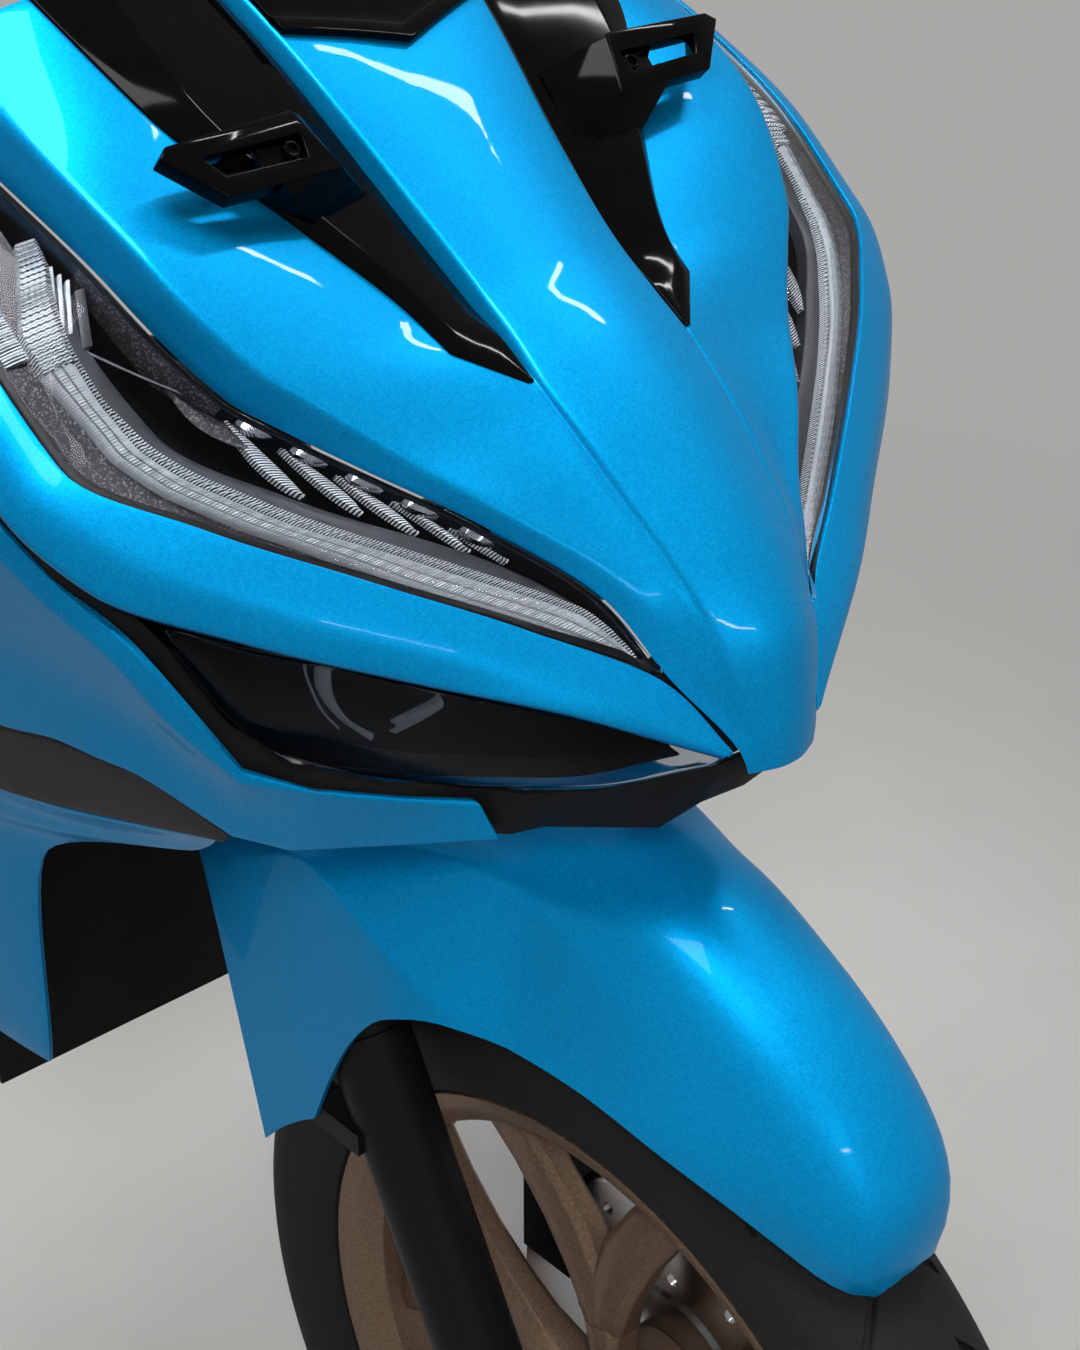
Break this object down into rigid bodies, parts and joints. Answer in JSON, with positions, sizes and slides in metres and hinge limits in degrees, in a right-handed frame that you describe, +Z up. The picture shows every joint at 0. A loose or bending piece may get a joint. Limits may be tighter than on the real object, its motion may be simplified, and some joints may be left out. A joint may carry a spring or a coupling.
{
  "type": "motor scooter front end",
  "caption": "Scooter front end: beaked nose fairing with slanted headlamps on a steering head, telescopic fork, mudguard and spoked cast wheel.",
  "frame": {"origin": "centre of the frame down tube's open lower end, where the rest of the vehicle holds this piece", "axes": "+X forward, +Y to the rider's left along the wheel axle, +Z up with the steering straight"},
  "size_m": [0.7086, 0.4572, 0.9882],
  "materials": {
    "pearl_blue_paint": "pearl paint under clear coat",
    "gloss_black_plastic": "polished",
    "matte_black_plastic": "fine matte",
    "grained_grey_plastic": "moulded grain",
    "clear_lens": "clear, polished",
    "smoked_lens": "smoked, polished",
    "milky_light_guide": "ribbed, milky clear",
    "dark_flake_plastic": "dark with metal flake",
    "black_painted_steel": "satin",
    "ground_steel": "ground",
    "grey_painted_alloy": "satin",
    "seal_rubber": "matte",
    "zinc_steel": "zinc plated",
    "bronze_painted_alloy": "satin",
    "tyre_rubber": "matte"
  },
  "bodies": {
    "fairing_frame": {"frame_tube": "black_painted_steel", "fairing_stay": "black_painted_steel", "nose_cover": "pearl_blue_paint", "visor": "gloss_black_plastic", "chin_trim": "matte_black_plastic", "splash_panel": "matte_black_plastic", "lower_strip_right": "pearl_blue_paint", "lower_strip_left": "pearl_blue_paint", "garnish_right": "gloss_black_plastic", "garnish_left": "gloss_black_plastic", "winglet_right": "gloss_black_plastic", "winglet_left": "gloss_black_plastic", "headlamp_lens_right": "clear_lens", "headlamp_lens_left": "clear_lens", "headlamp_housing_right": "matte_black_plastic", "headlamp_housing_left": "matte_black_plastic", "light_guide_right": "milky_light_guide", "light_guide_left": "milky_light_guide", "lamp_bezel_right": "dark_flake_plastic", "lamp_bezel_left": "dark_flake_plastic", "lamp_reflector_right": "dark_flake_plastic", "lamp_reflector_left": "dark_flake_plastic", "turn_lens_right": "smoked_lens", "turn_lens_left": "smoked_lens", "side_cover_right": "pearl_blue_paint", "side_cover_left": "pearl_blue_paint", "side_insert_right": "grained_grey_plastic", "side_insert_left": "grained_grey_plastic", "leg_shield_right": "pearl_blue_paint", "leg_shield_left": "pearl_blue_paint"},
    "steering": {"steering_stem": "black_painted_steel", "axle": "zinc_steel", "mudguard": "pearl_blue_paint", "caliper": "grey_painted_alloy", "fork_tube_right": "ground_steel", "fork_tube_left": "ground_steel", "dust_seal_right": "seal_rubber", "dust_seal_left": "seal_rubber", "fork_leg_right": "grey_painted_alloy", "fork_leg_left": "grey_painted_alloy"},
    "wheel": {"tyre": "tyre_rubber", "wheel_rim": "bronze_painted_alloy", "brake_disc": "ground_steel"}
  },
  "joints": [
    {"name": "steer", "type": "hinge", "parent": "fairing_frame", "child": "steering", "pos_m": [0.40823, 0, -0.20584], "axis": [-0.4462, 0, 0.8949], "range_deg": [-35, 35]},
    {"name": "wheel_spin", "type": "hinge", "parent": "steering", "child": "wheel", "pos_m": [0.44, 0, -0.19], "axis": [0, 1, 0], "continuous": true}
  ]
}
